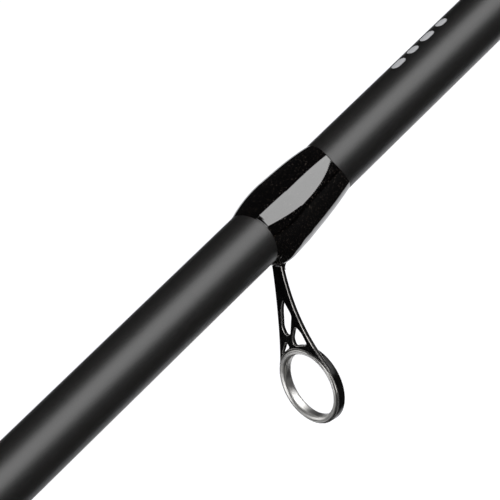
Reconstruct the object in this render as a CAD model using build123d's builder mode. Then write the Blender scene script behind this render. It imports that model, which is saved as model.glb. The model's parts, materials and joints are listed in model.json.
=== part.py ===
"""Two-piece spinning rod, modelled assembled, in millimetres.

+X runs from the butt to the tip along the blank's axis, +Z is up and the guides hang below, at -Z.
The origin is the centre of the butt cap's flat end face.
"""

from build123d import *
import os
from math import cos, pi, radians, sin

os.makedirs("parts", exist_ok=True)

# ---------------------------------------------------------------- blanks
butt_length = 950.0  # butt section, from the butt face to the end of its male ferrule
butt_start = 4.0  # the blank stops this far short of the butt face, inside the cap
butt_r_start = 6.2
butt_r_end = 3.65
butt_wall = 1.1
ferrule_overlap = 55.0
ferrule_clearance = 0.03  # radial, between the male and the female taper
ferrule_wall = 0.85
ferrule_bore_past = 5.0  # the socket runs this far past the male ferrule
tip_length = 935.0
tip_r_end = 1.1
tip_wall = 0.75
tip_bore_r_end = 0.45

# ---------------------------------------------------------------- handle
glue_gap = 0.05  # radial, between the blank and what is glued to it
cap_r = 14.5
cap_length = 24.0
cap_edge = 3.0
cap_ring_r = 14.2
cap_ring_length = 3.0
plug_length = 18.0
rear_grip_length = 208.0
rear_grip_r_end = 13.9
rear_grip_r_waist = 11.6
rear_grip_r_front = 13.0
grip_edge = 1.2
check_ring_r = 13.4
check_ring_length = 3.0
fore_grip_length = 82.0
fore_grip_r_rear = 13.0
fore_grip_r_belly = 11.2
fore_grip_r_front = 8.6
winding_check_length = 4.5
winding_check_rim = 1.5  # length of its full-width rim
winding_check_r_rear = 8.2
winding_check_lip = 0.6

# ---------------------------------------------------------------- reel seat
seat_length = 122.0
seat_bore_r = 7.5
seat_wall = 3.5
collar_height = 2.2
seat_collar_length = 5.0
thread_depth = 0.6
thread_pitch = 2.0
crest_root_half = 0.7
crest_top_half = 0.25
slide_clearance = 0.15  # radial, between the barrel and the nut and hood
nut_travel = 14.0
key_width = 3.0
key_depth = 1.0
key_clearance = 0.15
hood_wall = 2.2
hood_length = 20.0
sliding_hood_edge = 1.2
fixed_hood_edge = 0.8
nut_gap = 1.0  # from the collar to the nut, opened right up
nut_length = 13.0
nut_wall = 2.65
nut_flutes = 14
nut_flute_r = 1.5
nut_flute_depth = 0.675
nut_ring_width = 2.0
nut_ring_wall = 1.25
nut_ring_inset = 0.25
body_gap = 0.25  # along the axis, between pieces that turn or slide on each other
foot_flat_depth = 2.4  # the flat for the reel's foot, below the barrel's surface
foot_flat_lead = 0.75  # from the sliding hood's pocket, opened right up, to the flat
pocket_width = 16.4
pocket_height = 4.7
pocket_depth = 14.0
pocket_roof = 1.8
pocket_corner = 1.2
hood_bulge_width = 21.0
hood_corner = 5.0
fixed_hood_length = 30.0
pocket_floor_step = 0.3
arbor_length = 28.0
arbor_inset = 4.0

# ---------------------------------------------------------------- hook keeper
keeper_wire_r = 0.5
keeper_arch_half = 4.2
keeper_arch_drop = 3.6
keeper_bend = 1.3
keeper_foot_length = 7.0
keeper_offset = 24.0  # from the winding check's front to the arch's middle
keeper_thread_gap = 1.5  # from the arch to the thread
keeper_thread_past = 1.0

# ---------------------------------------------------------------- guides
# Each guide's place, as a share of the tip section's length from that section's start, then its
# ring size, and its ring centre's height below the blank. The first is on the butt section.
guides = [
    ("guide_1", -0.1390, 20.0, 33.0),
    ("guide_2", 0.1123, 10.0, 19.65),
    ("guide_3", 0.3048, 8.0, 14.0),
    ("guide_4", 0.4706, 7.0, 11.0),
    ("guide_5", 0.6150, 6.0, 8.5),
    ("guide_6", 0.7433, 6.0, 7.5),
    ("guide_7", 0.8663, 6.0, 7.0),
]
lean = 13.7  # degrees, the frame's lean from square towards the butt
rim_wall = 0.25  # the frame's rim outside the ring
ring_outset = 0.65  # the ring's outside, past half of its size
ring_wall = 0.85  # the ring's own wall, from its outside to its hole
ring_thick = 1.9
rim_thick = 1.4
plate_thick = 0.6
leg_half_base = 1.0  # half of the leg's width at the blank
foot_thick = 0.8
foot_tip_thick = 0.3
foot_cover = 0.25  # what the wrap adds below the foot's middle, to clear its corners
foot_width_share = 0.6  # the foot's width, as a share of the blank's radius
foot_length = 10.5
thread_thick = 0.22
thread_lead = 0.7  # from the leg to the thread's first turn
thread_tail = 1.0  # thread past the foot's end
coat_lead = 2.4  # coat behind the leg, towards the butt
coat_tail = 2.6  # coat past the thread's last turn
coat_thick = 0.6
thin_coat = 0.3
coat_edge = 0.06
coat_peak = 0.3  # where the coat is thickest, as a share of its length
coat_steps = 5
# The openings through each leg. The first number runs from the rim, 0, to the blank, 1, and the
# second is a share of the rim's radius, to the left of the leg's middle line.
leg_windows = (
    ((0.53, -0.03), (0.37, 0.14), (0.15, -0.10), (0.13, -0.27), (0.22, -0.31), (0.42, -0.16)),
    ((0.24, 0.19), (0.18, 0.32), (0.05, 0.40), (0.02, -0.07), (0.10, -0.07), (0.21, 0.10)),
    ((0.06, -0.34), (0.0, -0.28), (-0.085, -0.64), (-0.04, -0.54)),
)

# ---------------------------------------------------------------- wraps at the ferrule and tip
ferrule_wrap_length = 30.0
tip_tube_wall = 0.45
tip_tube_overlap = 10.0
tip_tube_past = 2.5  # the tube's closed end, past the blank's end
tip_ring_size = 6.0
tip_ring_height = 4.6  # the ring's centre below the rod's axis
tip_lean = -14.0
tip_ring_forward = 0.5  # where the loop's middle line meets the axis, past the blank's end
tip_leg_inset = 0.4
tip_tube_edge = 0.5
tip_wrap_length = 7.0
plain_margin = 2.0  # coat past the thread on a wrap with no foot under it
keeper_margin = 1.2

# ---------------------------------------------------------------- places that follow
tip_start = butt_length - ferrule_overlap
tip_end = tip_start + tip_length
cap_ring_start = cap_length
rear_grip_start = cap_ring_start + cap_ring_length
check_ring_start = rear_grip_start + rear_grip_length
seat_start = check_ring_start + check_ring_length
seat_end = seat_start + seat_length
fore_grip_start = seat_end
winding_check_start = fore_grip_start + fore_grip_length
winding_check_end = winding_check_start + winding_check_length
keeper_x = winding_check_end + keeper_offset
barrel_r = seat_bore_r + seat_wall
sleeve_r = barrel_r + slide_clearance
hood_r = sleeve_r + hood_wall
nut_r = sleeve_r + nut_wall
nut_ring_r = nut_r - nut_ring_inset
nut_start = seat_start + seat_collar_length + nut_gap
hood_start = nut_start + nut_length + body_gap
hood_end = hood_start + hood_length
platform_start = hood_end + 2 * body_gap
platform_end = seat_end - fixed_hood_length
thread_start = seat_start + seat_collar_length
thread_length = nut_gap + nut_length + nut_travel
foot_flat_start = hood_end - pocket_depth + foot_flat_lead
foot_flat_z = foot_flat_depth - barrel_r
pocket_bottom = foot_flat_z - pocket_height
pocket_floor = foot_flat_z + pocket_floor_step
key_low = barrel_r - key_depth + key_clearance
key_high = sleeve_r + hood_wall / 2


def butt_r(x):
    """Outer radius of the butt section at x."""
    share = (x - butt_start) / (butt_length - butt_start)
    return butt_r_start + share * (butt_r_end - butt_r_start)


tip_r_start = butt_r(tip_start) + ferrule_clearance + ferrule_wall


def tip_r(x):
    """Outer radius of the tip section at x."""
    share = (x - tip_start) / tip_length
    return tip_r_start + share * (tip_r_end - tip_r_start)


def blank_r(x):
    """Outer radius of whichever section shows at x."""
    return butt_r(x) if x < tip_start else tip_r(x)


def save(builder, label):
    """Labels a finished piece and writes it to its own STEP file."""
    builder.part.label = label
    export_step(builder.part, f"parts/{label}.step")


def turned(*points):
    """A turned piece from the (x, radius) corners of its section."""
    with BuildPart() as piece:
        with BuildSketch(Plane.XZ):
            with BuildLine():
                Polyline(*points, close=True)
            make_face()
        revolve(axis=Axis.X)
    return piece


def turned_with_curve(curve, start, end, bore_start, bore_end):
    """A turned piece whose outside follows a smooth curve of (x, radius) points."""
    with BuildPart() as piece:
        with BuildSketch(Plane.XZ):
            with BuildLine():
                Spline(*curve, tangents=[(1, 0), (1, 0)])
                Line(curve[-1], (end, curve[-1][1] - grip_edge))
                Line((end, curve[-1][1] - grip_edge), (end, bore_end))
                Line((end, bore_end), (start, bore_start))
                Line((start, bore_start), (start, curve[0][1] - grip_edge))
                Line((start, curve[0][1] - grip_edge), curve[0])
            make_face()
        revolve(axis=Axis.X)
    return piece


def blank_solid(start, end, oversize=0.0):
    """The blank's outer cone from start to end as a solid, for cutting what sits on it."""
    return turned(
        (start, 0), (start, blank_r(start) + oversize), (end, blank_r(end) + oversize), (end, 0)
    )


# ================================================================ blanks
butt_blank = turned(
    (butt_start, butt_r_start - butt_wall),
    (butt_start, butt_r_start),
    (butt_length, butt_r_end),
    (butt_length, butt_r_end - butt_wall),
)
save(butt_blank, "butt_blank")

ferrule_wrap_start = tip_start + plain_margin + body_gap
ferrule_bore_end = butt_length + ferrule_bore_past
tip_blank = turned(
    (tip_start, butt_r(tip_start) + ferrule_clearance),
    (tip_start, tip_r_start),
    (tip_end, tip_r_end),
    (tip_end, tip_bore_r_end),
    (ferrule_bore_end, tip_r(ferrule_bore_end) - tip_wall),
    (ferrule_bore_end, butt_r(ferrule_bore_end) + ferrule_clearance),
)
save(tip_blank, "tip_blank")

# ================================================================ handle
butt_plug = turned(
    (butt_start, 0),
    (butt_start, butt_r_start - butt_wall - glue_gap),
    (butt_start + plug_length, butt_r(butt_start + plug_length) - butt_wall - glue_gap),
    (butt_start + plug_length, 0),
)
save(butt_plug, "butt_plug")

with BuildPart() as butt_cap:
    with BuildSketch(Plane.YZ):
        Circle(cap_r)
    extrude(amount=cap_length)
    fillet(butt_cap.edges().group_by(Axis.X)[0], cap_edge)
    with BuildSketch(Plane.YZ.offset(butt_start)):
        Circle(butt_r_start + glue_gap)
    extrude(amount=cap_length, mode=Mode.SUBTRACT)
save(butt_cap, "butt_cap")

cap_ring = turned(
    (cap_ring_start, butt_r(cap_ring_start) + glue_gap),
    (cap_ring_start, cap_ring_r),
    (cap_ring_start + cap_ring_length, cap_ring_r),
    (cap_ring_start + cap_ring_length, butt_r(cap_ring_start) + glue_gap),
)
save(cap_ring, "butt_cap_ring")

rear_grip = turned_with_curve(
    [
        (rear_grip_start + grip_edge, rear_grip_r_end),
        (rear_grip_start + 0.14 * rear_grip_length, rear_grip_r_end - 0.25),
        (rear_grip_start + 0.52 * rear_grip_length, rear_grip_r_waist),
        (check_ring_start - grip_edge, rear_grip_r_front),
    ],
    rear_grip_start,
    check_ring_start,
    butt_r(rear_grip_start) + glue_gap,
    butt_r(check_ring_start) + glue_gap,
)
save(rear_grip, "rear_grip")

check_ring = turned(
    (check_ring_start, butt_r(check_ring_start) + glue_gap),
    (check_ring_start, check_ring_r),
    (seat_start, check_ring_r),
    (seat_start, butt_r(check_ring_start) + glue_gap),
)
save(check_ring, "seat_check_ring")

fore_grip = turned_with_curve(
    [
        (fore_grip_start + grip_edge, fore_grip_r_rear),
        (fore_grip_start + 0.45 * fore_grip_length, fore_grip_r_belly),
        (winding_check_start - grip_edge, fore_grip_r_front),
    ],
    fore_grip_start,
    winding_check_start,
    butt_r(fore_grip_start) + glue_gap,
    butt_r(winding_check_start) + glue_gap,
)
save(fore_grip, "fore_grip")

winding_check = turned(
    (winding_check_start, butt_r(winding_check_start) + glue_gap),
    (winding_check_start, winding_check_r_rear),
    (winding_check_start + winding_check_rim, winding_check_r_rear),
    (winding_check_end, butt_r(winding_check_start) + winding_check_lip),
    (winding_check_end, butt_r(winding_check_start) + glue_gap),
)
save(winding_check, "winding_check")


# ================================================================ reel seat
def pocket_sketch(width, top, bottom, corner):
    """A box section across the rod with its lower corners rounded, from top down to bottom."""
    with Locations((0, (top + bottom) / 2)):
        RectangleRounded(width, top - bottom, corner)


with BuildPart() as reel_seat:
    with BuildSketch(Plane.YZ.offset(seat_start)):
        Circle(barrel_r + collar_height)
    extrude(amount=seat_collar_length)
    with BuildSketch(Plane.YZ.offset(thread_start)):
        Circle(barrel_r - thread_depth)
    extrude(amount=thread_length)
    # Thread crests, as rings one pitch apart.
    with BuildSketch(Plane.XZ):
        for turn in range(int(thread_length / thread_pitch)):
            crest = thread_start + (turn + 0.5) * thread_pitch
            with BuildLine():
                Polyline(
                    (crest - crest_root_half, 0),
                    (crest - crest_root_half, barrel_r - thread_depth),
                    (crest - crest_top_half, barrel_r),
                    (crest + crest_top_half, barrel_r),
                    (crest + crest_root_half, barrel_r - thread_depth),
                    (crest + crest_root_half, 0),
                    close=True,
                )
            make_face()
    revolve(axis=Axis.X)
    with BuildSketch(Plane.YZ.offset(thread_start + thread_length)):
        Circle(barrel_r)
    extrude(amount=seat_end - thread_start - thread_length)
    # The flat for the reel's foot, lower under each hood, then the key groove and the bore.
    for start, end, level in (
        (foot_flat_start, platform_start, pocket_floor),
        (platform_start, platform_end, foot_flat_z),
        (platform_end, platform_end + pocket_depth, pocket_floor),
    ):
        with BuildSketch(Plane.YZ.offset(start)):
            pocket_sketch(3 * barrel_r, level, pocket_bottom, pocket_corner)
        extrude(amount=end - start, mode=Mode.SUBTRACT)
    with BuildSketch(Plane.YZ.offset(thread_start)):
        with Locations((0, barrel_r)):
            Rectangle(key_width, 2 * key_depth)
    extrude(amount=hood_end + nut_travel - thread_start, mode=Mode.SUBTRACT)
    with BuildSketch(Plane.YZ.offset(seat_start)):
        Circle(seat_bore_r)
    extrude(amount=seat_length, mode=Mode.SUBTRACT)
save(reel_seat, "reel_seat_body")

with BuildPart() as fixed_hood:
    with BuildSketch(Plane.YZ.offset(platform_end)):
        Circle(hood_r)
        pocket_sketch(hood_bulge_width, 0, pocket_bottom - pocket_roof, hood_corner)
    extrude(amount=fixed_hood_length)
    fillet(fixed_hood.faces().sort_by(Axis.X)[-1].edges(), fixed_hood_edge)
    with BuildSketch(Plane.YZ.offset(platform_end)):
        Circle(barrel_r + glue_gap)
    extrude(amount=fixed_hood_length, mode=Mode.SUBTRACT)
    with BuildSketch(Plane.YZ.offset(platform_end)):
        pocket_sketch(pocket_width, pocket_floor, pocket_bottom, pocket_corner)
    extrude(amount=pocket_depth, mode=Mode.SUBTRACT)
save(fixed_hood, "fixed_hood")

with BuildPart() as sliding_hood:
    with BuildSketch(Plane.YZ.offset(hood_start)):
        Circle(hood_r)
        pocket_sketch(hood_bulge_width, 0, pocket_bottom - pocket_roof, hood_corner)
    extrude(amount=hood_length)
    fillet(sliding_hood.faces().sort_by(Axis.X)[0].edges(), sliding_hood_edge)
    with BuildSketch(Plane.YZ.offset(hood_start)):
        Circle(sleeve_r)
    extrude(amount=hood_length, mode=Mode.SUBTRACT)
    with BuildSketch(Plane.YZ.offset(hood_end - pocket_depth)):
        pocket_sketch(pocket_width, pocket_floor, pocket_bottom, pocket_corner)
    extrude(amount=pocket_depth, mode=Mode.SUBTRACT)
    # The key that keeps the hood from turning.
    with BuildSketch(Plane.YZ.offset(hood_start)):
        with Locations((0, (key_low + key_high) / 2)):
            Rectangle(key_width - 2 * key_clearance, key_high - key_low)
    extrude(amount=hood_length)
save(sliding_hood, "sliding_hood")

with BuildPart() as locking_nut:
    with BuildSketch(Plane.YZ.offset(nut_start)):
        Circle(nut_r)
        Circle(sleeve_r, mode=Mode.SUBTRACT)
        with PolarLocations(nut_r + nut_flute_r - nut_flute_depth, nut_flutes):
            Circle(nut_flute_r, mode=Mode.SUBTRACT)
    extrude(amount=nut_length - nut_ring_width)
    with BuildSketch(Plane.YZ.offset(nut_start + nut_length - nut_ring_width)):
        Circle(nut_ring_r - nut_ring_wall)
        Circle(sleeve_r, mode=Mode.SUBTRACT)
    extrude(amount=nut_ring_width)
save(locking_nut, "locking_nut")

nut_ring_start = nut_start + nut_length - nut_ring_width
nut_ring = turned(
    (nut_ring_start, nut_ring_r - nut_ring_wall),
    (nut_ring_start, nut_ring_r),
    (nut_start + nut_length, nut_ring_r),
    (nut_start + nut_length, nut_ring_r - nut_ring_wall),
)
save(nut_ring, "nut_trim_ring")

for label, start in (
    ("seat_arbor_rear", seat_start + arbor_inset),
    ("seat_arbor_front", seat_end - arbor_inset - arbor_length),
):
    arbor = turned(
        (start, butt_r(start) + glue_gap),
        (start, seat_bore_r - glue_gap),
        (start + arbor_length, seat_bore_r - glue_gap),
        (start + arbor_length, butt_r(start + arbor_length) + glue_gap),
    )
    save(arbor, label)


# ================================================================ wraps
def wrap(start, end, thread_start, thread_end, drop_start, drop_end, thick, fall):
    """A thread and its coat, as plain solids round an axis half the drop below the blank's."""
    run = end - start
    origin = Vector(start, 0, -drop_start / 2)
    along = Vector(run, 0, (drop_start - drop_end) / 2)
    plane = Plane(origin, x_dir=along, z_dir=(0, -1, 0))

    def snug(x):
        """The radius about the wrap's axis that just takes in the blank."""
        share = (x - start) / run
        return blank_r(x) + (drop_start + share * (drop_end - drop_start)) / 2

    with BuildPart() as thread:
        with BuildSketch(plane):
            with BuildLine():
                Polyline(
                    (thread_start - start, 0),
                    (thread_start - start, snug(thread_start) + thread_thick),
                    (thread_end - start, snug(thread_end) + thread_thick),
                    (thread_end - start, 0),
                    close=True,
                )
            make_face()
        revolve(axis=Axis(origin, along))

    # The coat rises in a quarter ellipse to its thickest point, then runs out along a power curve.
    points = []
    for step in range(coat_steps):
        turn = step / coat_steps * pi / 2
        points.append((coat_peak * (1 - cos(turn)), sin(turn)))
    for step in range(coat_steps + 1):
        out = step / coat_steps
        points.append((coat_peak + (1 - coat_peak) * out, 1 - out**fall))
    outline = [
        (share * run, snug(start + share * run) + coat_edge + (thread_thick + thick) * rise)
        for share, rise in points
    ]
    with BuildPart() as coat:
        with BuildSketch(plane):
            with BuildLine():
                Spline(*outline)
                Polyline(outline[-1], (run, 0), (0, 0), outline[0])
            make_face()
        revolve(axis=Axis(origin, along))
    return thread, coat


def wrapped(label, thread, coat, inside):
    """Saves a wrap's thread and coat, cut clear of the blank and of the metal inside them."""
    with BuildPart() as thread_piece:
        add(thread.part)
        for other in inside:
            add(other, mode=Mode.SUBTRACT)
    save(thread_piece, f"{label}_thread")
    with BuildPart() as coat_piece:
        add(coat.part)
        add(thread.part, mode=Mode.SUBTRACT)
        for other in inside:
            add(other, mode=Mode.SUBTRACT)
    save(coat_piece, f"{label}_coat")


# ================================================================ guides
def leg_outline(reach, rim):
    """Half of the leg's outline: it leaves the blank square and swings out to touch the rim."""
    radius = (reach**2 + leg_half_base**2 - rim**2) / (2 * (rim - leg_half_base))
    centre_x = leg_half_base + radius
    touch = rim / (rim + radius)
    return radius, centre_x, (centre_x * touch, -reach * (1 - touch))


def ring_insert(label, centre, normal, size):
    """The hard ring that the line runs through, with a rounded bore."""
    outside = size / 2 + ring_outset
    hole = outside - ring_wall
    flat = outside - ring_wall / 2
    half = ring_thick / 2
    with BuildPart() as ring:
        with BuildSketch(Plane(centre, x_dir=(0, 1, 0), z_dir=normal.cross(Vector(0, 1, 0)))):
            with BuildLine():
                Polyline((flat, half), (outside, half), (outside, -half), (flat, -half))
                ThreePointArc((flat, -half), (hole, 0), (flat, half))
            make_face()
        revolve(axis=Axis(centre, normal))
    save(ring, f"{label}_ring")


def rim_radius(size):
    """Outside radius of the frame's rim round a ring."""
    return size / 2 + ring_outset + rim_wall


def leaned(degrees):
    """The leg's downward direction and the ring's axis at a lean towards the butt."""
    side, up = sin(radians(degrees)), cos(radians(degrees))
    return Vector(-side, 0, -up), Vector(up, 0, -side)


for label, place, size, height in guides:
    x = tip_start + place * tip_length
    down, normal = leaned(lean)
    surface = blank_r(x)
    reach = height / cos(radians(lean))
    rim = rim_radius(size)
    base = Vector(x, 0, -surface)
    centre = base + down * reach
    foot_end = x + foot_length
    wrap_start = x + thread_lead
    wrap_end = foot_end + thread_tail
    core = blank_solid(x - 2 * coat_lead, wrap_end + 2 * coat_tail)
    radius, arc_x, touch = leg_outline(reach, rim)

    with BuildPart() as frame:
        # The leg, its openings, then the rim.
        with BuildSketch(Plane(base, x_dir=(0, 1, 0), z_dir=normal)):
            with BuildLine():
                Line((-leg_half_base, surface / 2), (leg_half_base, surface / 2))
                Line((leg_half_base, surface / 2), (leg_half_base, 0))
                RadiusArc((leg_half_base, 0), touch, radius)
                Polyline(touch, (0, -reach), (-touch[0], touch[1]))
                RadiusArc((-touch[0], touch[1]), (-leg_half_base, 0), radius)
                Line((-leg_half_base, 0), (-leg_half_base, surface / 2))
            make_face()
            for window in leg_windows:
                with BuildLine():
                    corners = [(-v * rim, -reach + rim + u * (reach - rim)) for u, v in window]
                    Polyline(*corners, close=True)
                make_face(mode=Mode.SUBTRACT)
        extrude(amount=plate_thick / 2, both=True)
        with BuildSketch(Plane(centre, x_dir=(0, 1, 0), z_dir=normal)):
            Circle(rim)
        extrude(amount=rim_thick / 2, both=True)
        # The foot, a tongue that thins towards its end.
        with BuildSketch(Plane.XZ):
            with BuildLine():
                Polyline(
                    (x - plate_thick / 2, 0),
                    (x - plate_thick / 2, -surface - foot_thick),
                    (x + 1, -surface - foot_thick),
                    (foot_end, -blank_r(foot_end) - foot_tip_thick),
                    (foot_end, 0),
                    close=True,
                )
            make_face()
        extrude(amount=foot_width_share * surface / 2, both=True)
        add(core.part, mode=Mode.SUBTRACT)
        with BuildSketch(Plane(centre, x_dir=(0, 1, 0), z_dir=normal)):
            Circle(rim - rim_wall)
        extrude(amount=ring_thick, both=True, mode=Mode.SUBTRACT)
        # Nothing is left above the blank.
        with BuildSketch(Plane.XY):
            Rectangle(4 * tip_end, 4 * surface)
        extrude(amount=4 * surface, mode=Mode.SUBTRACT)
    save(frame, f"{label}_frame")
    ring_insert(label, centre, normal, size)
    coat_ends = (x - coat_lead, wrap_end + coat_tail)
    drop = foot_thick + foot_cover
    thread, coat = wrap(*coat_ends, wrap_start, wrap_end, drop, 0.0, coat_thick, 2)
    wrapped(label, thread, coat, [core.part, frame.part])

# ================================================================ tip top
tube_start = tip_end - tip_tube_overlap
tube_end = tip_end + tip_tube_past
tip_wrap_end = tube_start - plain_margin - body_gap
tube_r = tip_r(tube_start) + glue_gap + tip_tube_wall
down, normal = leaned(tip_lean)
rim = rim_radius(tip_ring_size)
loop_top = Vector(tip_end + tip_ring_forward, 0, 0)
centre = loop_top + down * (tip_ring_height / cos(radians(tip_lean)))
with BuildPart() as tip_top:
    with BuildSketch(Plane.YZ.offset(tube_start)):
        Circle(tube_r)
    extrude(amount=tube_end - tube_start)
    fillet(tip_top.edges().sort_by(Axis.X)[-1], tip_tube_edge)
    with BuildSketch(Plane(centre, x_dir=(0, 1, 0), z_dir=normal)):
        with Locations((0, tip_ring_height / 2)):
            Rectangle(2 * (tube_r - tip_leg_inset), tip_ring_height)
        Circle(rim)
    extrude(amount=rim_thick / 2, both=True)
    with BuildSketch(Plane(centre, x_dir=(0, 1, 0), z_dir=normal)):
        Circle(rim - rim_wall)
    extrude(amount=rim_thick, both=True, mode=Mode.SUBTRACT)
    add(blank_solid(tube_start - 5, tip_end, glue_gap).part, mode=Mode.SUBTRACT)
save(tip_top, "tip_top_frame")
ring_insert("tip_top", centre, normal, tip_ring_size)

# ================================================================ wraps with nothing inside
for label, start, end in (
    ("ferrule", ferrule_wrap_start, ferrule_wrap_start + ferrule_wrap_length),
    ("tip_top", tip_wrap_end - tip_wrap_length, tip_wrap_end),
):
    coat_ends = (start - plain_margin, end + plain_margin)
    thread, coat = wrap(*coat_ends, start, end, 0.0, 0.0, thin_coat, 6)
    wrapped(label, thread, coat, [blank_solid(*coat_ends).part])

# ================================================================ hook keeper
arch_start = keeper_x - keeper_arch_half
arch_end = keeper_x + keeper_arch_half
keeper_start = arch_start - keeper_foot_length
keeper_z = -(butt_r(keeper_start) + keeper_wire_r + glue_gap)
with BuildPart() as hook_keeper:
    with BuildLine():
        FilletPolyline(
            (keeper_start, 0, keeper_z),
            (arch_start, 0, keeper_z),
            (keeper_x - keeper_bend, 0, keeper_z - keeper_arch_drop),
            (keeper_x + keeper_bend, 0, keeper_z - keeper_arch_drop),
            (arch_end, 0, keeper_z),
            (arch_end + keeper_foot_length, 0, keeper_z),
            radius=keeper_bend,
        )
    with BuildSketch(Plane.YZ.offset(keeper_start)):
        with Locations((0, keeper_z)):
            Circle(keeper_wire_r)
    sweep()
save(hook_keeper, "hook_keeper")
keeper_thread_parts = []
keeper_coat_parts = []
for start, end in (
    (keeper_start - keeper_thread_past, arch_start - keeper_thread_gap),
    (arch_end + keeper_thread_gap, arch_end + keeper_foot_length + keeper_thread_past),
):
    wire_drop = 2 * keeper_wire_r + 2 * glue_gap
    coat_ends = (start - keeper_margin, end + keeper_margin)
    thread, coat = wrap(*coat_ends, start, end, wire_drop, wire_drop, thin_coat, 6)
    keeper_thread_parts.append(thread.part)
    keeper_coat_parts.append(coat.part)
keeper_core = blank_solid(winding_check_end, arch_end + 3 * keeper_foot_length)
with BuildPart() as keeper_thread:
    for piece in keeper_thread_parts:
        add(piece)
    add(keeper_core.part, mode=Mode.SUBTRACT)
    add(hook_keeper.part, mode=Mode.SUBTRACT)
save(keeper_thread, "hook_keeper_thread")
with BuildPart() as keeper_coat:
    for piece in keeper_coat_parts:
        add(piece)
    for piece in keeper_thread_parts:
        add(piece, mode=Mode.SUBTRACT)
    add(keeper_core.part, mode=Mode.SUBTRACT)
    add(hook_keeper.part, mode=Mode.SUBTRACT)
save(keeper_coat, "hook_keeper_coat")
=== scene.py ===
"""The spinning rod's looks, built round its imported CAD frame.

Metres, with the CAD's axes: +X runs from the butt to the tip, +Z is up, and the guides hang below.
"""

import json
import math

import bpy
import numpy as np
from mathutils import Matrix, Vector


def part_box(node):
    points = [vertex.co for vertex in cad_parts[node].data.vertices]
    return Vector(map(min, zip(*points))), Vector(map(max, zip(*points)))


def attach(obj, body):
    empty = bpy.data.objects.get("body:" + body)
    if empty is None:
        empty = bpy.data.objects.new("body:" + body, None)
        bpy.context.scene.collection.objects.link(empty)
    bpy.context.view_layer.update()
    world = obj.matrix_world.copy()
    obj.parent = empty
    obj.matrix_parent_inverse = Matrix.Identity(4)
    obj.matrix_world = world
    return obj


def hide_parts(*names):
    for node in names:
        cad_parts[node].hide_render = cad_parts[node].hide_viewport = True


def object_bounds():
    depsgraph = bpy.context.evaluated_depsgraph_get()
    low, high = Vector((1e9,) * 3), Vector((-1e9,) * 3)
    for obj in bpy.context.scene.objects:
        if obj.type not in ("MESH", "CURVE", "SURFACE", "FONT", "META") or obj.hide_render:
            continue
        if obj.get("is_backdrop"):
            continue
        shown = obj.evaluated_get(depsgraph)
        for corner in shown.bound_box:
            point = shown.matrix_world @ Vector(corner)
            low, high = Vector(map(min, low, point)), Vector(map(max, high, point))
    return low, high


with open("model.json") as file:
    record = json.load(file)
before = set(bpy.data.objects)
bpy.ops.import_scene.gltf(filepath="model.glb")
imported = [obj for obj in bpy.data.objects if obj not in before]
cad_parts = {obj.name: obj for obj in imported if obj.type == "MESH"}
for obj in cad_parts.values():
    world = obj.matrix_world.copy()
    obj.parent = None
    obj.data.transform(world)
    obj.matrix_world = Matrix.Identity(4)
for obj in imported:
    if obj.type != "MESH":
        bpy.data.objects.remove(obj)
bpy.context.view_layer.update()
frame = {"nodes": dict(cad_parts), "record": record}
nodes = frame["nodes"]
record = frame["record"]

MM = 0.001
LEAN = math.radians(13.7)  # the guides' lean towards the butt, as in the CAD
TIP_LEAN = math.radians(-14.0)
BODY_OF = {n: body for body, group in record["behaviour"]["bodies"].items() for n in group}
GUIDES = [f"guide_{i}" for i in range(1, 8)]
SHOWN = "guide_2"  # the guide that the camera looks at


# ---------------------------------------------------------------- measures from the frame
def centre_of(node):
    """The middle of a node's box."""
    low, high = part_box(node)
    return (low + high) / 2


def ring_radius(label):
    """The outer radius of a guide's ring insert."""
    low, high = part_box(f"{label}_ring")
    return (high.y - low.y) / 2


def cone_of(node):
    """A tapered tube's (x, outer radius) at its two ends."""
    points = np.array([v.co[:] for v in nodes[node].data.vertices])
    radius = np.hypot(points[:, 1], points[:, 2])
    ends = []
    for x in (points[:, 0].min(), points[:, 0].max()):
        ends.append((x, radius[abs(points[:, 0] - x) < 1e-5].max()))
    return ends


BUTT_CONE = cone_of("butt_blank")
TIP_CONE = cone_of("tip_blank")


def blank_r(x):
    """The blank's outer radius at x."""
    (x0, r0), (x1, r1) = BUTT_CONE if x < TIP_CONE[0][0] else TIP_CONE
    return r0 + (r1 - r0) * (x - x0) / (x1 - x0)


def leg_directions(lean):
    """The leg's downward direction, and the ring's axis, which points to the tip."""
    side, up = math.sin(lean), math.cos(lean)
    return Vector((-side, 0, -up)), Vector((up, 0, -side))


# ---------------------------------------------------------------- camera
AIM = Vector((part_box("guide_2_coat")[0].x + 2.4 * MM, 0, 0))  # the blank's axis at guide 2's leg
VIEW = Vector((0.5003, 0.7445, -0.4421)).normalized()
UP = Vector((0.6030, 0.0668, 0.7948))
PICTURE_WIDTH = 70.85 * MM  # what the picture spans at AIM
AIM_RIGHT, AIM_UP = 1.8 * MM, 2.735 * MM  # where AIM stands from the picture's middle
DISTANCE = 1.6
SENSOR = 36  # millimetres

right = VIEW.cross(UP).normalized()
up = right.cross(VIEW)
camera_data = bpy.data.cameras.new("camera")
camera_data.sensor_width = SENSOR
camera_data.lens = SENSOR * DISTANCE / PICTURE_WIDTH
camera_data.clip_start = 0.05
camera_data.clip_end = 100
camera_data.dof.use_dof = False
camera = bpy.data.objects.new("camera", camera_data)
eye = AIM - VIEW * DISTANCE - right * AIM_RIGHT - up * AIM_UP
turn = Matrix((right, up, -VIEW)).transposed()
camera.matrix_world = Matrix.Translation(eye) @ turn.to_4x4()
bpy.context.scene.collection.objects.link(camera)
bpy.context.scene.camera = camera


# ---------------------------------------------------------------- node helpers
def new_material(name):
    """A material with its tree, its Principled shader and its object coordinates."""
    mat = bpy.data.materials.new(name)
    mat.use_nodes = True
    tree = mat.node_tree
    shader = tree.nodes["Principled BSDF"]
    coords = tree.nodes.new("ShaderNodeTexCoord").outputs["Object"]
    return mat, tree, shader, coords


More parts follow.
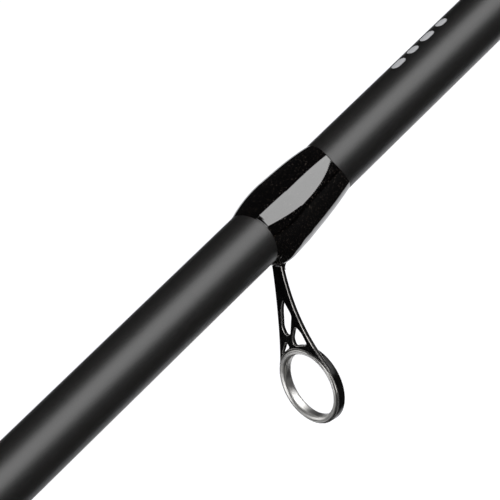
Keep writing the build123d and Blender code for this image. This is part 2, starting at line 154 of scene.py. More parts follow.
def stretched(tree, coords, scale):
    """Coordinates stretched by a scale along each axis."""
    mapping = tree.nodes.new("ShaderNodeMapping")
    mapping.inputs["Scale"].default_value = scale
    tree.links.new(coords, mapping.inputs["Vector"])
    return mapping.outputs["Vector"]


def noise(tree, coords, scale, detail=2.0, roughness=0.5):
    """A noise texture's value."""
    node = tree.nodes.new("ShaderNodeTexNoise")
    node.inputs["Scale"].default_value = scale
    node.inputs["Detail"].default_value = detail
    node.inputs["Roughness"].default_value = roughness
    tree.links.new(coords, node.inputs["Vector"])
    return node.outputs["Fac"]


def spread(tree, value, low, high, to_low, to_high):
    """Maps value from low..high to to_low..to_high, clamped."""
    node = tree.nodes.new("ShaderNodeMapRange")
    limits = {"From Min": low, "From Max": high, "To Min": to_low, "To Max": to_high}
    for key, number in limits.items():
        node.inputs[key].default_value = number
    tree.links.new(value, node.inputs["Value"])
    return node.outputs["Result"]


COLOUR_A, COLOUR_B, COLOUR_OUT = 6, 7, 2  # the Mix node's colour sockets


def mixed(tree, factor, first, second):
    """A colour between two, by a factor. Each is a colour or a socket."""
    node = tree.nodes.new("ShaderNodeMix")
    node.data_type = "RGBA"
    tree.links.new(factor, node.inputs["Factor"])
    for key, colour in ((COLOUR_A, first), (COLOUR_B, second)):
        if isinstance(colour, bpy.types.NodeSocket):
            tree.links.new(colour, node.inputs[key])
        else:
            node.inputs[key].default_value = (*colour, 1)
    return node.outputs[COLOUR_OUT]


def bumped(tree, shader, height, distance, under=None):
    """Adds a bump from a height, on top of another bump if there is one."""
    node = tree.nodes.new("ShaderNodeBump")
    node.inputs["Distance"].default_value = distance
    node.inputs["Strength"].default_value = 1.0
    tree.links.new(height, node.inputs["Height"])
    if under is not None:
        tree.links.new(under, node.inputs["Normal"])
    tree.links.new(node.outputs["Normal"], shader.inputs["Normal"])
    return node.outputs["Normal"]


def maths(tree, operation, first, second):
    """A Math node's result. Each value is a number or a socket."""
    node = tree.nodes.new("ShaderNodeMath")
    node.operation = operation
    for key, value in ((0, first), (1, second)):
        if isinstance(value, bpy.types.NodeSocket):
            tree.links.new(value, node.inputs[key])
        else:
            node.inputs[key].default_value = value
    return node.outputs[0]


# ---------------------------------------------------------------- materials
def carbon_blank():
    """Satin charcoal, with a fine even grain."""
    mat, tree, shader, coords = new_material("carbon_blank")
    grain = noise(tree, coords, 5200, 3, 0.7)
    broad = noise(tree, stretched(tree, coords, (60, 400, 400)), 1.0, 2)
    speck = spread(tree, grain, 0.35, 0.65, 0.0, 1.0)
    base = mixed(tree, speck, (0.0020, 0.0018, 0.0017), (0.0135, 0.0125, 0.0115))
    patches = spread(tree, broad, 0.3, 0.7, 0.0, 0.35)
    colour = mixed(tree, patches, base, (0.0105, 0.0100, 0.0095))
    tree.links.new(colour, shader.inputs["Base Color"])
    tree.links.new(spread(tree, grain, 0.3, 0.7, 0.40, 0.47), shader.inputs["Roughness"])
    shader.inputs["IOR"].default_value = 1.6
    shader.inputs["Specular IOR Level"].default_value = 0.62
    bumped(tree, shader, grain, 0.010 * MM)
    return mat


def wrap_coat():
    """Deep gloss epoxy over black thread, with a little dust and a faint trace of the thread."""
    mat, tree, shader, coords = new_material("wrap_coat")
    dust_noise = noise(tree, coords, 4300, 0)
    dust = spread(tree, dust_noise, 0.70, 0.78, 0.0, 1.0)
    threads = tree.nodes.new("ShaderNodeTexWave")
    threads.bands_direction = "X"
    threads.inputs["Scale"].default_value = 1500
    threads.inputs["Distortion"].default_value = 2.5
    tree.links.new(coords, threads.inputs["Vector"])
    under = mixed(tree, threads.outputs["Fac"], (0.0006, 0.0005, 0.0005), (0.0100, 0.0078, 0.0066))
    flecks = spread(tree, noise(tree, coords, 3400, 2, 0.7), 0.52, 0.72, 0.0, 0.55)
    black = mixed(tree, flecks, (0.0009, 0.0007, 0.0007), under)
    tree.links.new(mixed(tree, dust, black, (0.036, 0.028, 0.022)), shader.inputs["Base Color"])
    tree.links.new(spread(tree, dust_noise, 0.70, 0.80, 0.03, 0.2), shader.inputs["Roughness"])
    shader.inputs["IOR"].default_value = 1.8
    shader.inputs["Specular IOR Level"].default_value = 0.65
    wave = tree.nodes.new("ShaderNodeTexWave")
    wave.bands_direction = "X"
    wave.inputs["Scale"].default_value = 900
    wave.inputs["Distortion"].default_value = 1.2
    wave.inputs["Detail"].default_value = 1.0
    tree.links.new(coords, wave.inputs["Vector"])
    ripple = noise(tree, coords, 260, 1)
    first = bumped(tree, shader, wave.outputs["Fac"], 0.0006 * MM)
    bumped(tree, shader, ripple, 0.010 * MM, under=first)
    return mat


def wrap_thread():
    """Tight turns of black thread."""
    mat, tree, shader, coords = new_material("wrap_thread")
    wave = tree.nodes.new("ShaderNodeTexWave")
    wave.bands_direction = "X"
    wave.inputs["Scale"].default_value = 1000
    tree.links.new(coords, wave.inputs["Vector"])
    colour = mixed(tree, wave.outputs["Fac"], (0.006, 0.006, 0.007), (0.03, 0.03, 0.032))
    tree.links.new(colour, shader.inputs["Base Color"])
    shader.inputs["Roughness"].default_value = 0.5
    bumped(tree, shader, wave.outputs["Fac"], 0.05 * MM)
    return mat


def guide_frame():
    """Black plating on pressed steel, with bright metal painted along the edge roundings as a painted
    highlight.
    """
    mat, tree, shader, coords = new_material("guide_frame")
    peel = noise(tree, coords, 1500, 2)
    tint = noise(tree, coords, 700, 3)
    shade = spread(tree, tint, 0.35, 0.65, 0, 1)
    plating = mixed(tree, shade, (0.0022, 0.0021, 0.0021), (0.0050, 0.0046, 0.0044))
    # Bright metal on the edge roundings: a painted highlight along the edges, broken up by noise.
    edge = tree.nodes.new("ShaderNodeAttribute")
    edge.attribute_name = "highlight_edge"
    highlight_breakup = spread(tree, noise(tree, coords, 420, 3), 0.3, 0.5, 0.35, 0.9)
    painted_edge_highlight = maths(tree, "MULTIPLY", edge.outputs["Fac"], highlight_breakup)
    tree.links.new(mixed(tree, painted_edge_highlight, plating, (0.62, 0.60, 0.57)), shader.inputs["Base Color"])
    tree.links.new(painted_edge_highlight, shader.inputs["Metallic"])
    tree.links.new(spread(tree, peel, 0.3, 0.7, 0.14, 0.24), shader.inputs["Roughness"])
    shader.inputs["IOR"].default_value = 1.3
    shader.inputs["Specular IOR Level"].default_value = 0.4
    bumped(tree, shader, peel, 0.004 * MM)
    return mat


def ring_metal():
    """Polished hard silver with fine turning marks."""
    mat, tree, shader, coords = new_material("ring_metal")
    cloud = noise(tree, coords, 900, 4, 0.6)
    shade = spread(tree, cloud, 0.35, 0.65, 0, 1)
    colour = mixed(tree, shade, (0.70, 0.69, 0.67), (0.84, 0.83, 0.81))
    tree.links.new(colour, shader.inputs["Base Color"])
    tree.links.new(spread(tree, cloud, 0.3, 0.7, 0.36, 0.48), shader.inputs["Roughness"])
    shader.inputs["Metallic"].default_value = 1.0
    bumped(tree, shader, noise(tree, coords, 4200, 2), 0.0025 * MM)
    return mat


def foam_grip():
    """Closed-cell foam: matte, with small pores, their pits painted darker as painted shade."""
    mat, tree, shader, coords = new_material("foam_grip")
    cells = tree.nodes.new("ShaderNodeTexVoronoi")
    cells.inputs["Scale"].default_value = 1500
    tree.links.new(coords, cells.inputs["Vector"])
    cloud = noise(tree, coords, 90, 3)
    # The pore mask darkens the colour in the pits as well as sinking them: painted shade in the pores.
    pores = spread(tree, cells.outputs["Distance"], 0.1, 0.5, 0, 1)
    base = mixed(tree, pores, (0.012, 0.012, 0.013), (0.030, 0.030, 0.032))
    patches = spread(tree, cloud, 0.35, 0.65, 0, 0.4)
    tree.links.new(mixed(tree, patches, base, (0.040, 0.040, 0.043)), shader.inputs["Base Color"])
    shader.inputs["Roughness"].default_value = 0.85
    shader.inputs["Sheen Weight"].default_value = 0.15
    first = bumped(tree, shader, pores, 0.05 * MM)
    bumped(tree, shader, noise(tree, coords, 380, 4), 0.08 * MM, under=first)
    return mat


def speckled(name, dark, light, scale, roughness, bump):
    """A moulded or turned finish: a fine mottle in colour, roughness and relief."""
    mat, tree, shader, coords = new_material(name)
    mottle = noise(tree, coords, scale, 4, 0.6)
    cloud = noise(tree, coords, scale / 12, 2)
    base = mixed(tree, spread(tree, mottle, 0.3, 0.7, 0, 1), dark, light)
    patches = spread(tree, cloud, 0.3, 0.7, 0, 0.4)
    tree.links.new(mixed(tree, patches, base, light), shader.inputs["Base Color"])
    tree.links.new(spread(tree, mottle, 0.3, 0.7, *roughness), shader.inputs["Roughness"])
    bumped(tree, shader, mottle, bump)
    return mat


def turned_trim():
    """Turned and anodised aluminium: fine rings about the rod."""
    mat, tree, shader, coords = new_material("bright_trim")
    lines = noise(tree, stretched(tree, coords, (9000, 40, 40)), 1.0, 2)
    cloud = noise(tree, coords, 200, 2)
    shade = spread(tree, cloud, 0.3, 0.7, 0, 1)
    colour = mixed(tree, shade, (0.30, 0.30, 0.31), (0.42, 0.42, 0.43))
    tree.links.new(colour, shader.inputs["Base Color"])
    tree.links.new(spread(tree, lines, 0.3, 0.7, 0.22, 0.36), shader.inputs["Roughness"])
    shader.inputs["Metallic"].default_value = 1.0
    bumped(tree, shader, lines, 0.004 * MM)
    return mat


MATERIALS = {
    "carbon_blank": carbon_blank(),
    "wrap_coat": wrap_coat(),
    "wrap_thread": wrap_thread(),
    "guide_frame": guide_frame(),
    "ring_metal": ring_metal(),
    "foam_grip": foam_grip(),
    "bright_trim": turned_trim(),
    "rubber_cap": speckled(
        "rubber_cap", (0.010, 0.010, 0.010), (0.022, 0.022, 0.022), 1800, (0.55, 0.75), 0.02 * MM
    ),
    "seat_composite": speckled(
        "seat_composite", (0.014, 0.014, 0.015), (0.026, 0.026, 0.028), 2400, (0.32, 0.44), 0.008 * MM
    ),
    "black_plastic": speckled(
        "black_plastic", (0.018, 0.018, 0.018), (0.032, 0.032, 0.032), 1500, (0.45, 0.6), 0.02 * MM
    ),
    "arbor_foam": speckled(
        "arbor_foam", (0.40, 0.35, 0.27), (0.56, 0.50, 0.40), 1200, (0.8, 0.95), 0.05 * MM
    ),
    "mark_ink": speckled(
        "mark_ink", (0.46, 0.46, 0.46), (0.60, 0.60, 0.60), 5200, (0.4, 0.5), 0.003 * MM
    ),
}
SLOT_OF = {row["node"]: row["material_slot"] for row in record["subparts"]}
for name, node in nodes.items():
    node.data.materials.clear()
    node.data.materials.append(MATERIALS[SLOT_OF[name]])


# ---------------------------------------------------------------- mesh helpers
def add_piece(name, points, faces, node, slot=None, replace=True):
    """A smooth mesh that rides with a CAD node's body and takes its finish."""
    mesh = bpy.data.meshes.new(name)
    mesh.from_pydata([tuple(p) for p in points], [], faces)
    mesh.validate()
    mesh.shade_smooth()
    piece = bpy.data.objects.new(name, mesh)
    bpy.context.scene.collection.objects.link(piece)
    finish_piece(piece, node, slot, replace)
    return piece


def finish_piece(piece, node, slot=None, replace=True):
    """Gives a piece its finish and body, and hides the CAD part that it replaces."""
    slot = slot or SLOT_OF[node]
    piece.data.materials.clear()
    piece.data.materials.append(MATERIALS[slot])
    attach(piece, BODY_OF[node])
    if replace:
        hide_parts(node)


def grid_faces(rows, columns, wrap_rows=False):
    """Quads of a grid whose columns close on themselves, and whose rows may."""
    faces = []
    for i in range(rows if wrap_rows else rows - 1):
        for j in range(columns):
            k = (j + 1) % columns
            n = (i + 1) % rows
            faces.append((i * columns + j, i * columns + k, n * columns + k, n * columns + j))
    return faces


def revolve(profile, origin, axis, segments):
    """Points and faces of a closed (along, radius) profile turned about an axis."""
    axis = axis.normalized()
    side = axis.cross(Vector((0, 1, 0)))
    side = side.normalized() if side.length > 1e-6 else Vector((0, 0, 1))
    other = axis.cross(side)
    points = []
    for along, radius in profile:
        for j in range(segments):
            angle = 2 * math.pi * j / segments
            points.append(origin + axis * along + (side * math.cos(angle) + other * math.sin(angle)) * radius)
    return points, grid_faces(len(profile), segments, wrap_rows=True)


def arc(centre, radius, start, end, steps):
    """Points of an arc in the plane, by angles in degrees."""
    return [
        (
            centre[0] + radius * math.cos(math.radians(start + (end - start) * i / steps)),
            centre[1] + radius * math.sin(math.radians(start + (end - start) * i / steps)),
        )
        for i in range(steps + 1)
    ]


# ---------------------------------------------------------------- blanks
def blank_piece(node):
    """A blank as a fine tube, from the corners of the CAD tube's section."""
    points = np.array([v.co[:] for v in nodes[node].data.vertices])
    rings = {(round(x, 5), round(math.hypot(y, z), 5)) for x, y, z in points}
    start, end = min(x for x, _ in rings), max(x for x, _ in rings)
    outer = [max(r for r in rings if r[0] == x) for x in (start, end)]
    inner = sorted(rings - set(outer), reverse=True)
    bevel = 0.06 * MM
    (x0, r0), (x1, r1) = outer
    profile = [(x0, r0 - bevel), (x0 + bevel, r0), (x1 - bevel, r1), (x1, r1 - bevel)] + inner
    points, faces = revolve(profile, Vector((0, 0, 0)), Vector((1, 0, 0)), 256)
    piece = add_piece(f"{node}_tube", points, faces, node)
    piece.data.set_sharp_from_angle(angle=math.radians(30))


for name in ("butt_blank", "tip_blank"):
    blank_piece(name)


# ---------------------------------------------------------------- foam grips
SKIN_DEPTH = 2.5 * MM  # foam further than this from the bore is the outside
FOAM_CORNER = 1.5 * MM
GROOVE_INSET = 9 * MM
GROOVE = 0.55 * MM  # a groove's depth and half its width
UNEVEN = 0.03 * MM


def foam_piece(node):
    """A moulded foam grip: crowned, with rounded ends, a groove near each, and a sanded skin."""
    points = np.array([v.co[:] for v in nodes[node].data.vertices])
    radius = np.hypot(points[:, 1], points[:, 2])
    bore = radius.min()
    skin = radius > bore + SKIN_DEPTH
    places = sorted(set(np.round(points[skin, 0], 5)))
    across = [radius[skin & (abs(points[:, 0] - x) < 1e-5)].max() for x in places]
    start, end = places[0], places[-1]
    middle = (start + end) / 2
    rows, columns = 260, 120
    grooves = (start + GROOVE_INSET, end - GROOVE_INSET)
    verts = []
    for i in range(rows):
        share = i / (rows - 1)
        x = start + (end - start) * (share - 0.06 * math.sin(4 * math.pi * share) / math.pi)
        base = float(np.interp(x, places, across))
        near = min(x - start, end - x)
        if near < FOAM_CORNER:
            full_at = start + FOAM_CORNER if x < middle else end - FOAM_CORNER
            base = float(np.interp(full_at, places, across))
            base -= FOAM_CORNER - math.sqrt(max(0.0, FOAM_CORNER**2 - (FOAM_CORNER - near) ** 2))
        for groove in grooves:
            base -= GROOVE * math.exp(-(((x - groove) / GROOVE) ** 2))
        for j in range(columns):
            a = 2 * math.pi * j / columns
            uneven = math.sin(3 * a + 41 * x / (end - start)) + math.sin(7 * a - 97 * x / (end - start))
            r = base - UNEVEN * (1 + 0.5 * uneven)
            verts.append(Vector((x, -math.sin(a) * r, math.cos(a) * r)))
    for x in (end, start):
        for j in range(columns):
            a = 2 * math.pi * j / columns
            verts.append(Vector((x, -math.sin(a) * bore, math.cos(a) * bore)))
    piece = add_piece(f"{node}_foam", verts, grid_faces(rows + 2, columns, wrap_rows=True), node)
    piece.data.set_sharp_from_angle(angle=math.radians(50))


for name in ("rear_grip", "fore_grip"):
    foam_piece(name)


# ---------------------------------------------------------------- guides
RING_WALL = 0.85 * MM
INNER_ROUND = (0.62 * MM, 0.78)  # the bore's rounding: a length along the axis, a share of the wall
OUTER_ROUND = (0.20 * MM, 0.22)
RIM_WALL = 0.28 * MM
RIM_ROUND = 0.24 * MM
RIM_THICK = 1.5 * MM
RING_THICK = 1.9 * MM
PLATE = 0.62 * MM
EDGE = 0.14 * MM
LEG_HALF = 1.0 * MM
FOOT_LENGTH = 10.5 * MM
FOOT_THICK = 0.8 * MM
FOOT_END = 0.3 * MM  # the foot's thickness at its end
FOOT_SUNK = 0.1 * MM  # how far the foot goes into the blank
BOW = 0.75 * MM  # the leg bows this far towards the butt between the blank and the ring
WINDOWS = (
    ((0.53, -0.03), (0.37, 0.14), (0.15, -0.10), (0.13, -0.27), (0.22, -0.31), (0.42, -0.16)),
    ((0.24, 0.19), (0.18, 0.32), (0.05, 0.40), (0.02, -0.07), (0.10, -0.07), (0.21, 0.10)),
    ((0.06, -0.34), (0.0, -0.28), (-0.085, -0.64), (-0.04, -0.54)),
)


def ring_insert(label, lean):
    """The bright ring: rounded cheeks that run into a straight bore."""
    node = f"{label}_ring"
    outside = ring_radius(label)
    hole = outside - RING_WALL
    half = RING_THICK / 2
    round_in = (INNER_ROUND[0], INNER_ROUND[1] * RING_WALL)
    round_out = (OUTER_ROUND[0], OUTER_ROUND[1] * RING_WALL)
    crest = hole + round_in[1]
    quarter = np.linspace(0, math.pi / 2, 14)
    front = [(half - round_out[0] * (1 - math.sin(a)), crest + round_out[1] * math.cos(a)) for a in quarter]
    front += [
        (half - round_in[0] * (1 - math.cos(a)), crest - round_in[1] * math.sin(a)) for a in quarter[1:]
    ]
    profile = front + [(-x, r) for x, r in reversed(front)]
    points, faces = revolve(profile, centre_of(node), leg_directions(lean)[1], 160)
    add_piece(f"{label}_ring_insert", points, faces, node)


def rim_band(centre, normal, outside):
    """The frame's rim: a band with rounded edges round the ring insert."""
    half = RIM_THICK / 2
    inset, height = half - RIM_ROUND, outside + RIM_WALL - RIM_ROUND
    profile = [(half, outside)]
    profile += arc((inset, height), RIM_ROUND, 0, 90, 6)
    profile += arc((-inset, height), RIM_ROUND, 90, 180, 6)
    profile += [(-half, outside)]
    return revolve(profile, centre, normal, 160)


def rounded(corners, reach):
    """A closed outline whose corners are rounded, starting up to reach from each."""
    outline, steps = [], 6
    for i, corner in enumerate(corners):
        corner = Vector(corner)
        before, after = Vector(corners[i - 1]), Vector(corners[(i + 1) % len(corners)])
        a = corner + (before - corner) * min(0.4, reach / (before - corner).length)
        b = corner + (after - corner) * min(0.4, reach / (after - corner).length)
        for k in range(steps + 1):
            t = k / steps
            outline.append(tuple(a * (1 - t) ** 2 + corner * 2 * t * (1 - t) + b * t**2))
    return outline


def leg_outline(reach, rim, top):
    """The leg's outline: out of the coat, swinging out to touch the rim, and back over the ring."""
    radius = (reach**2 + LEG_HALF**2 - rim**2) / (2 * (rim - LEG_HALF))
    centre_x = LEG_HALF + radius
    swing = math.degrees(math.atan2(reach, centre_x))
    side = arc((centre_x, 0), radius, 180, 180 + swing, 40)
    inside = rim - 0.5 * RIM_WALL
    touch = 90 - math.degrees(math.atan2(centre_x, reach))
    over = [(x, y - reach) for x, y in arc((0, 0), inside, touch, 180 - touch, 48)]
    left = [(-x, y) for x, y in reversed(side)]
    return [(LEG_HALF, top)] + side + over + left + [(-LEG_HALF, top)]


def flat_plate(name, outlines, thick, edge):
    """A plate from closed outlines, the first outside and the rest openings, with rounded edges."""
    curve = bpy.data.curves.new(name, "CURVE")
    curve.dimensions = "2D"
    curve.fill_mode = "BOTH"
    curve.extrude = (thick / 2 - edge) / MM
    curve.bevel_depth = edge / MM
    curve.bevel_resolution = 3
    curve.offset = -edge / MM
    for outline in outlines:
        spline = curve.splines.new("POLY")
        spline.points.add(len(outline) - 1)
        for point, (x, y) in zip(spline.points, outline):
            point.co = (x / MM, y / MM, 0, 1)
        spline.use_cyclic_u = True
    holder = bpy.data.objects.new(name, curve)
    bpy.context.scene.collection.objects.link(holder)
    bpy.context.view_layer.update()
    mesh = bpy.data.meshes.new_from_object(holder.evaluated_get(bpy.context.evaluated_depsgraph_get()))
    bpy.data.objects.remove(holder)
    mesh.transform(Matrix.Scale(MM, 4))
    return mesh


def foot_solid(x, surface):
    """The foot's tongue under the blank, thinning to its end: points and faces."""
    half = 0.3 * surface
    sections = ((x - 0.4 * MM, FOOT_THICK), (x + 1 * MM, FOOT_THICK), (x + FOOT_LENGTH, FOOT_END))
    points = []
    for x_at, thick in sections:
        top, bottom = FOOT_SUNK - blank_r(x_at), -blank_r(x_at) - thick
        for y, z in ((-half, top), (half, top), (half, bottom), (-half, bottom)):
            points.append(Vector((x_at, y, z)))
    faces = grid_faces(3, 4) + [(3, 2, 1, 0), (8, 9, 10, 11)]
    return points, faces


def leg_base(label):
    """Where the leg's middle line meets the blank, the leg's direction, and the ring's axis."""
    centre = centre_of(f"{label}_ring")
    down, normal = leg_directions(LEAN)
    x = centre.x
    for _ in range(4):
        x = centre.x + (-centre.z - blank_r(x)) * math.tan(LEAN)
    return Vector((x, 0, -blank_r(x))), down, normal


def mark_highlight_edges(mesh, normal):
    """Stores how far each point lies on an edge's rounding, where the painted edge highlight of bright metal
    goes.
    """
    highlight = mesh.attributes.new("highlight_edge", "FLOAT", "POINT")
    for vertex in mesh.vertices:
        across = abs(vertex.normal.dot(normal))
        highlight.data[vertex.index].value = 1.0 if 0.3 < across < 0.93 else 0.0


def guide_frame_piece(label):
    """Leg, rim and foot of one guide, in one piece."""
    node = f"{label}_frame"
    centre = centre_of(f"{label}_ring")
    outside = ring_radius(label)
    rim = outside + RIM_WALL
    base, down, normal = leg_base(label)
    surface = -base.z
    reach = (centre - base).length
    outlines = [leg_outline(reach, rim, 0.6 * surface)]
    for window in WINDOWS:
        corners = [(-v * rim, -reach + rim + u * (reach - rim)) for u, v in window]
        outlines.append(rounded(corners, 0.08 * rim))
    mesh = flat_plate(f"{label}_leg", outlines, PLATE, EDGE)
    bow = BOW * min(1.0, (reach - rim) / (14 * MM))
    for vertex in mesh.vertices:
        x, y, z = vertex.co
        share = min(1.0, max(0.0, -y / reach))
        bend = -bow * math.sin(math.pi * share)
        vertex.co = base - down * y + Vector((0, 1, 0)) * x + normal * (z + bend)
    extra = [rim_band(centre, normal, outside), foot_solid(base.x, surface)]
    start = len(mesh.vertices)
    points = [tuple(v.co) for v in mesh.vertices]
    faces = [tuple(p.vertices) for p in mesh.polygons]
    for more_points, more_faces in extra:
        faces += [tuple(i + start for i in f) for f in more_faces]
        points += [tuple(p) for p in more_points]
        start += len(more_points)
    whole = bpy.data.meshes.new(f"{label}_leg_and_rim")
    whole.from_pydata(points, [], faces)
    whole.validate()
    whole.shade_smooth()
    whole.set_sharp_from_angle(angle=math.radians(40))
    joined = bpy.data.objects.new(whole.name, whole)
    bpy.context.scene.collection.objects.link(joined)
    weighted = joined.modifiers.new("even_shading", "WEIGHTED_NORMAL")
    weighted.keep_sharp = True
    mark_highlight_edges(whole, normal)
    finish_piece(joined, node)


# ---------------------------------------------------------------- wrap coats
def bump_at(angle, middle, width):
    """A smooth bump round the rod, 1 at the middle, by angles in degrees."""
    away = (angle - middle + 180) % 360 - 180
    return math.exp(-((away / width) ** 2))


CREST = 0.39  # where along its length a coat stops rising
SOONER = 0.24  # how much sooner it does so over the foot
THINNING = 0.45  # how much of its thickness it loses from there to its end
COAT_DROP = 0.85 * MM  # the extra depth under the blank, where the foot lies
COAT_LIP = 0.02 * MM
COAT_SUNK = 0.1 * MM  # how far the coat's hidden side lies inside the blank


def swell(share, angle):
    """How thick a coat is, as a share of its thickest. It fills up sooner over the guide's foot."""
    full = CREST - SOONER * bump_at(angle, 180, 70)
    rise = 1 - (1 - min(1.0, share / full)) ** 2
    past = max(0.0, (share - CREST) / (1 - CREST))
    return rise * (1 - past**4) * (1 - THINNING * past)


def coat_piece(label, start, end, thick, rows, columns, ends=None):
    """A wrap's coat: a full swell near its first end that runs out along a curve."""
    points = []
    shares = [0.5 - 0.5 * math.cos(math.pi * i / (rows - 1)) for i in range(rows)]
    for share in shares:
        for j in range(columns):
            angle = 360 * j / columns
            x0, x1 = (start, end) if ends is None else ends(angle, start, end)
            x = x0 + share * (x1 - x0)
            rise = swell(share, angle)
            lower = COAT_DROP / 2 * (1 - share)
            radius = blank_r(x) + (lower + thick) * rise + COAT_LIP
            sink = lower * rise
            a = math.radians(angle)
            points.append(Vector((x, -math.sin(a) * radius, math.cos(a) * radius - sink)))
    for x in (end, start):
        for j in range(columns):
            a = 2 * math.pi * j / columns
            r = blank_r(x) - COAT_SUNK
            points.append(Vector((x, -math.sin(a) * r, math.cos(a) * r)))
    faces = grid_faces(rows + 2, columns, wrap_rows=True)
    add_piece(f"{label}_epoxy", points, faces, f"{label}_coat")


COLLAR_POWER = 0.5  # under 1 squares the collar's section, to suit the flat leg


def leg_collar(label):
    """The epoxy that creeps a little way down the leg, where the leg leaves the coat."""
    base, down, normal = leg_base(label)
    points = []
    rows, columns = 14, 40
    for i in range(rows):
        share = i / (rows - 1)
        flare = (1 - share) ** 2.4
        for j in range(columns):
            a = 2 * math.pi * j / columns
            reach_y = LEG_HALF * (0.98 + 0.55 * flare)
            reach_n = PLATE * (0.52 + 0.95 * flare)
            y = math.copysign(abs(math.cos(a)) ** COLLAR_POWER, math.cos(a)) * reach_y
            n = math.copysign(abs(math.sin(a)) ** COLLAR_POWER, math.sin(a)) * reach_n
            depth = (1.15 + 1.25 * share + 0.12 * math.sin(3 * a + 1)) * MM
            points.append(base + down * depth + Vector((0, 1, 0)) * y + normal * n)
    faces = grid_faces(rows, columns)
    faces.append(tuple(reversed(range(columns))))
    faces.append(tuple((rows - 1) * columns + j for j in range(columns)))
    add_piece(f"{label}_leg_collar", points, faces, f"{label}_coat", replace=False)


def shown_ends(angle, start, end):
    """The brushed, uneven ends of the coat that the camera looks at."""
    x0 = start + 0.3 * MM + 0.6 * MM * bump_at(angle, 60, 50) - 0.2 * MM * bump_at(angle, 200, 40)
    x1 = end + 0.2 * MM - 1.0 * MM * bump_at(angle, 62, 48) + 0.6 * MM * bump_at(angle, 175, 50)
    return x0, x1


for label in GUIDES:
    ring_insert(label, LEAN)
    guide_frame_piece(label)
    low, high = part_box(f"{label}_coat")
    if label == SHOWN:
        coat_piece(label, low.x, high.x, 0.84 * MM, 160, 256, shown_ends)
    else:
        coat_piece(label, low.x, high.x, 0.80 * MM, 96, 160)
    leg_collar(label)
ring_insert("tip_top", TIP_LEAN)


# ---------------------------------------------------------------- printed marks
MARK_LIFT, MARK_SUNK = 0.015 * MM, 0.05 * MM  # above and below the blank's surface
MARK_ANGLE = -3  # degrees round the blank from its top


def mark(name, x0, x1, width):
    """A plain bar printed on the blank, with rounded ends: a thin curved patch."""
    points, half = [], width / 2
    rows, columns = 15, 12
    for layer in (MARK_LIFT, -MARK_SUNK):
        for i in range(rows):
            x = x0 + (x1 - x0) * i / (rows - 1)
            near = min(x - x0, x1 - x)
            reach = half if near >= half else math.sqrt(max(1e-12, half**2 - (half - near) ** 2))
            for j in range(columns):
                r = blank_r(x) + layer
                angle = math.radians(MARK_ANGLE) + (2 * j / (columns - 1) - 1) * reach / r
                points.append(Vector((x, -math.sin(angle) * r, math.cos(angle) * r)))
    faces = []
    size = rows * columns
    for base, flip in ((0, False), (size, True)):
        for i in range(rows - 1):
            for j in range(columns - 1):
                quad = [base + i * columns + j, base + (i + 1) * columns + j]
                quad += [base + (i + 1) * columns + j + 1, base + i * columns + j + 1]
                faces.append(tuple(reversed(quad)) if flip else tuple(quad))
    rim = list(range(columns)) + [(i + 1) * columns - 1 for i in range(1, rows)]
    rim += [(rows - 1) * columns + j for j in reversed(range(columns - 1))]
    rim += [i * columns for i in reversed(range(1, rows - 1))]
    for a, b in zip(rim, rim[1:] + rim[:1]):
        faces.append((b, a, a + size, b + size))
    piece = add_piece(name, points, faces, "tip_blank", slot="mark_ink", replace=False)


MARK_START = AIM.x + 33 * MM
MARK_WIDTH = 1.6 * MM
BARS = ((0, 2.6), (3.6, 2.0), (6.6, 2.6), (10.2, 2.0))  # each bar's start and length in millimetres
for index, (along, length) in enumerate(BARS):
    bar_start = MARK_START + along * MM
    mark(f"printed_bar_{index + 1}", bar_start, MARK_START + (along + length) * MM, MARK_WIDTH)


# ---------------------------------------------------------------- stage and light
FLOOR_Z = -0.45
FLOOR_HALF = 14.0
FLOOR_GLOW = 0.5  # what the floor adds to the rays that show it


def light_paths(tree, kinds):
    """One where a ray is of any of the kinds, as Is Camera Ray or Is Glossy Ray."""
    path = tree.nodes.new("ShaderNodeLightPath")
    total = path.outputs[kinds[0]]
    for kind in kinds[1:]:
        total = maths(tree, "MAXIMUM", total, path.outputs[kind])
    return total


def build_floor():
    """A pale floor, a little brighter to camera, glossy and transmission rays."""
    mesh = bpy.data.meshes.new("floor")
    corners = [(x * FLOOR_HALF, y * FLOOR_HALF, FLOOR_Z) for x, y in ((-1, -1), (1, -1), (1, 1), (-1, 1))]
    mesh.from_pydata(corners, [], [(0, 1, 2, 3)])
    floor = bpy.data.objects.new("floor", mesh)
    bpy.context.scene.collection.objects.link(floor)
    mat = bpy.data.materials.new("pale_floor")
    mat.use_nodes = True
    tree = mat.node_tree
    tree.nodes.remove(tree.nodes["Principled BSDF"])
    output = tree.nodes["Material Output"]
    diffuse = tree.nodes.new("ShaderNodeBsdfDiffuse")
    diffuse.inputs["Color"].default_value = (0.86, 0.86, 0.86, 1)
    glow = tree.nodes.new("ShaderNodeEmission")
    seen = light_paths(tree, ("Is Camera Ray", "Is Glossy Ray", "Is Transmission Ray"))
    tree.links.new(maths(tree, "MULTIPLY", seen, FLOOR_GLOW), glow.inputs["Strength"])
    both = tree.nodes.new("ShaderNodeAddShader")
    tree.links.new(diffuse.outputs[0], both.inputs[0])
    tree.links.new(glow.outputs[0], both.inputs[1])
    tree.links.new(both.outputs[0], output.inputs["Surface"])
    mesh.materials.append(mat)
    floor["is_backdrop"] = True


FLAG_LIFT = 0.05  # above the floor
FLAGS = (
    ((-14, -14), (14, -14), (14, 0.03), (-14, 0.03)),
    ((-14, 0.03), (-0.6, 0.03), (-0.6, 14), (-14, 14)),
    ((-0.6, 0.03), (0.15, 0.03), (0.15, 0.35), (-0.6, 0.35)),
)


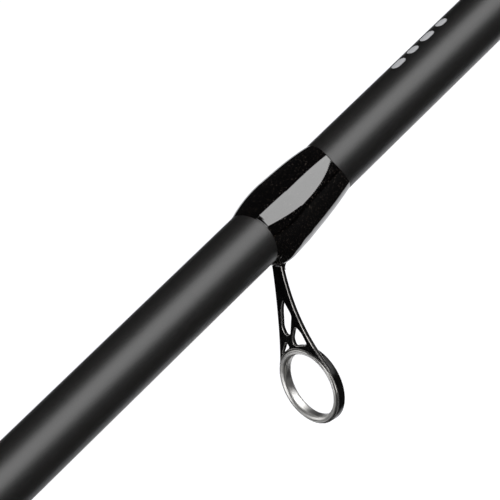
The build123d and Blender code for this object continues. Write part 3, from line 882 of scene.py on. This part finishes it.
def build_flag():
    """Black cards just above the floor, seen only in reflections, as photographers use."""
    mesh = bpy.data.meshes.new("flag")
    z = FLOOR_Z + FLAG_LIFT
    points, faces = [], []
    for corners in FLAGS:
        faces.append(tuple(range(len(points), len(points) + 4)))
        points += [(AIM.x + x, y, z) for x, y in corners]
    mesh.from_pydata(points, [], faces)
    flag = bpy.data.objects.new("flag", mesh)
    bpy.context.scene.collection.objects.link(flag)
    mat = bpy.data.materials.new("black_card")
    mat.use_nodes = True
    shader = mat.node_tree.nodes["Principled BSDF"]
    shader.inputs["Base Color"].default_value = (0.004, 0.004, 0.004, 1)
    shader.inputs["Roughness"].default_value = 1.0
    mesh.materials.append(mat)
    flag.visible_camera = False
    flag.visible_diffuse = False
    flag.visible_shadow = False
    flag.visible_transmission = False
    flag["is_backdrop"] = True


def build_world():
    """White to camera and transmission rays, a dim fill to the rest, and nearly black to glossy rays."""
    world = bpy.data.worlds.new("world")
    bpy.context.scene.world = world
    world.use_nodes = True
    tree = world.node_tree
    tree.nodes.clear()
    output = tree.nodes.new("ShaderNodeOutputWorld")
    white = tree.nodes.new("ShaderNodeBackground")
    fill = tree.nodes.new("ShaderNodeBackground")
    fill.inputs["Color"].default_value = (0.9, 0.92, 1.0, 1)
    glossy = light_paths(tree, ("Is Glossy Ray",))
    tree.links.new(spread(tree, glossy, 0, 1, 0.35, 0.015), fill.inputs["Strength"])
    mix = tree.nodes.new("ShaderNodeMixShader")
    tree.links.new(light_paths(tree, ("Is Camera Ray", "Is Transmission Ray")), mix.inputs[0])
    tree.links.new(fill.outputs[0], mix.inputs[1])
    tree.links.new(white.outputs[0], mix.inputs[2])
    tree.links.new(mix.outputs[0], output.inputs["Surface"])


def area_light(name, towards, distance, width, height, radiance, spin=0.0):
    """A rectangular lamp that faces AIM from a direction, by the radiance that it shows."""
    data = bpy.data.lights.new(name, "AREA")
    data.shape = "RECTANGLE"
    data.size, data.size_y = width, height
    data.energy = radiance * width * height * math.pi
    lamp = bpy.data.objects.new(name, data)
    towards = Vector(towards).normalized()
    aim = (-towards).to_track_quat("-Z", "Y").to_matrix().to_4x4()
    lamp.matrix_world = Matrix.Translation(AIM + towards * distance) @ aim @ Matrix.Rotation(spin, 4, "Z")
    bpy.context.scene.collection.objects.link(lamp)
    lamp.visible_camera = False
    return lamp


build_floor()
build_flag()
build_world()
area_light("softbox", (0.413, -0.641, 0.647), 2.47, 2.4, 2.7, 3.2, math.radians(52))
for name, towards, width, height, radiance in (
    ("side_reflector", (-0.95, -0.12, 0.0), 2.0, 1.2, 2.6),
    ("back_reflector", (-0.42, 0.72, 0.52), 1.7, 1.2, 1.5),
):
    card = area_light(name, towards, 2.2, width, height, radiance)
    card.visible_diffuse = False
bpy.context.scene.view_settings.view_transform = "Standard"

low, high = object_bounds()
